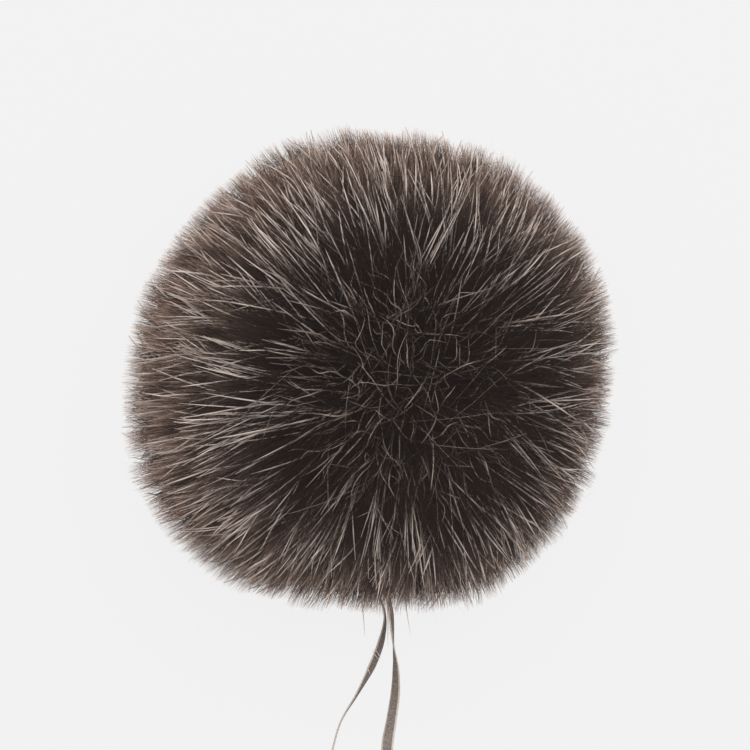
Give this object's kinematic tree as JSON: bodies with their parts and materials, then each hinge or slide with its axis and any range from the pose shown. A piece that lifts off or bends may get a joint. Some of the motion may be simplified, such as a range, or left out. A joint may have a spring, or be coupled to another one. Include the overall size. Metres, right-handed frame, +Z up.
{
  "type": "fur pom-pom with ribbon ties",
  "caption": "Round trimmed fur pom-pom on a gathered, stuffed skin pouch, tied on with flat ribbon tails that leave through the pouch's neck.",
  "frame": {"origin": "on the table, under the middle of the ball, which lies on its side", "axes": "+Z up, away from the table; the neck of the pouch points towards -Y and 40 degrees down; +X to the right when looking down with -Y towards the viewer"},
  "size_m": [0.1563, 0.186, 0.108],
  "materials": {
    "guard_hair": "long pale animal or imitation fur hair, slightly glossy",
    "underfur": "dense dark brown-black fur, matte",
    "skin": "tanned skin side, undyed, matte",
    "fibrefill": "white polyester fibrefill",
    "button_plastic": "dark moulded button",
    "ribbon": "taupe woven ribbon, matte to satin",
    "thread": "black sewing thread"
  },
  "bodies": {
    "pompom": {"guard_hair": "guard_hair", "underfur": "underfur", "pelt": "skin", "stuffing": "fibrefill", "anchor_button": "button_plastic", "ribbon_loop": "ribbon", "gather_stitch_01": "thread", "gather_stitch_02": "thread", "gather_stitch_03": "thread", "gather_stitch_04": "thread", "gather_stitch_05": "thread", "gather_stitch_06": "thread", "gather_stitch_07": "thread", "gather_stitch_08": "thread", "gather_stitch_09": "thread", "gather_stitch_10": "thread", "gather_stitch_11": "thread", "gather_stitch_12": "thread", "gather_wrap_1": "thread", "gather_wrap_2": "thread", "gather_knot": "thread", "thread_end_1": "thread", "thread_end_2": "thread"},
    "tail_left": {"tie_ribbon_left": "ribbon"},
    "tail_right": {"tie_ribbon_right": "ribbon"}
  },
  "joints": [
    {"name": "tail_left_swing", "type": "hinge", "parent": "pompom", "child": "tail_left", "pos_m": [-0.0008, -0.0432, 0.0158], "axis": [0, 0, 1], "range_deg": [-60, 0]},
    {"name": "tail_right_swing", "type": "hinge", "parent": "pompom", "child": "tail_right", "pos_m": [0.0008, -0.0432, 0.0158], "axis": [0, 0, 1], "range_deg": [0, 60]}
  ]
}
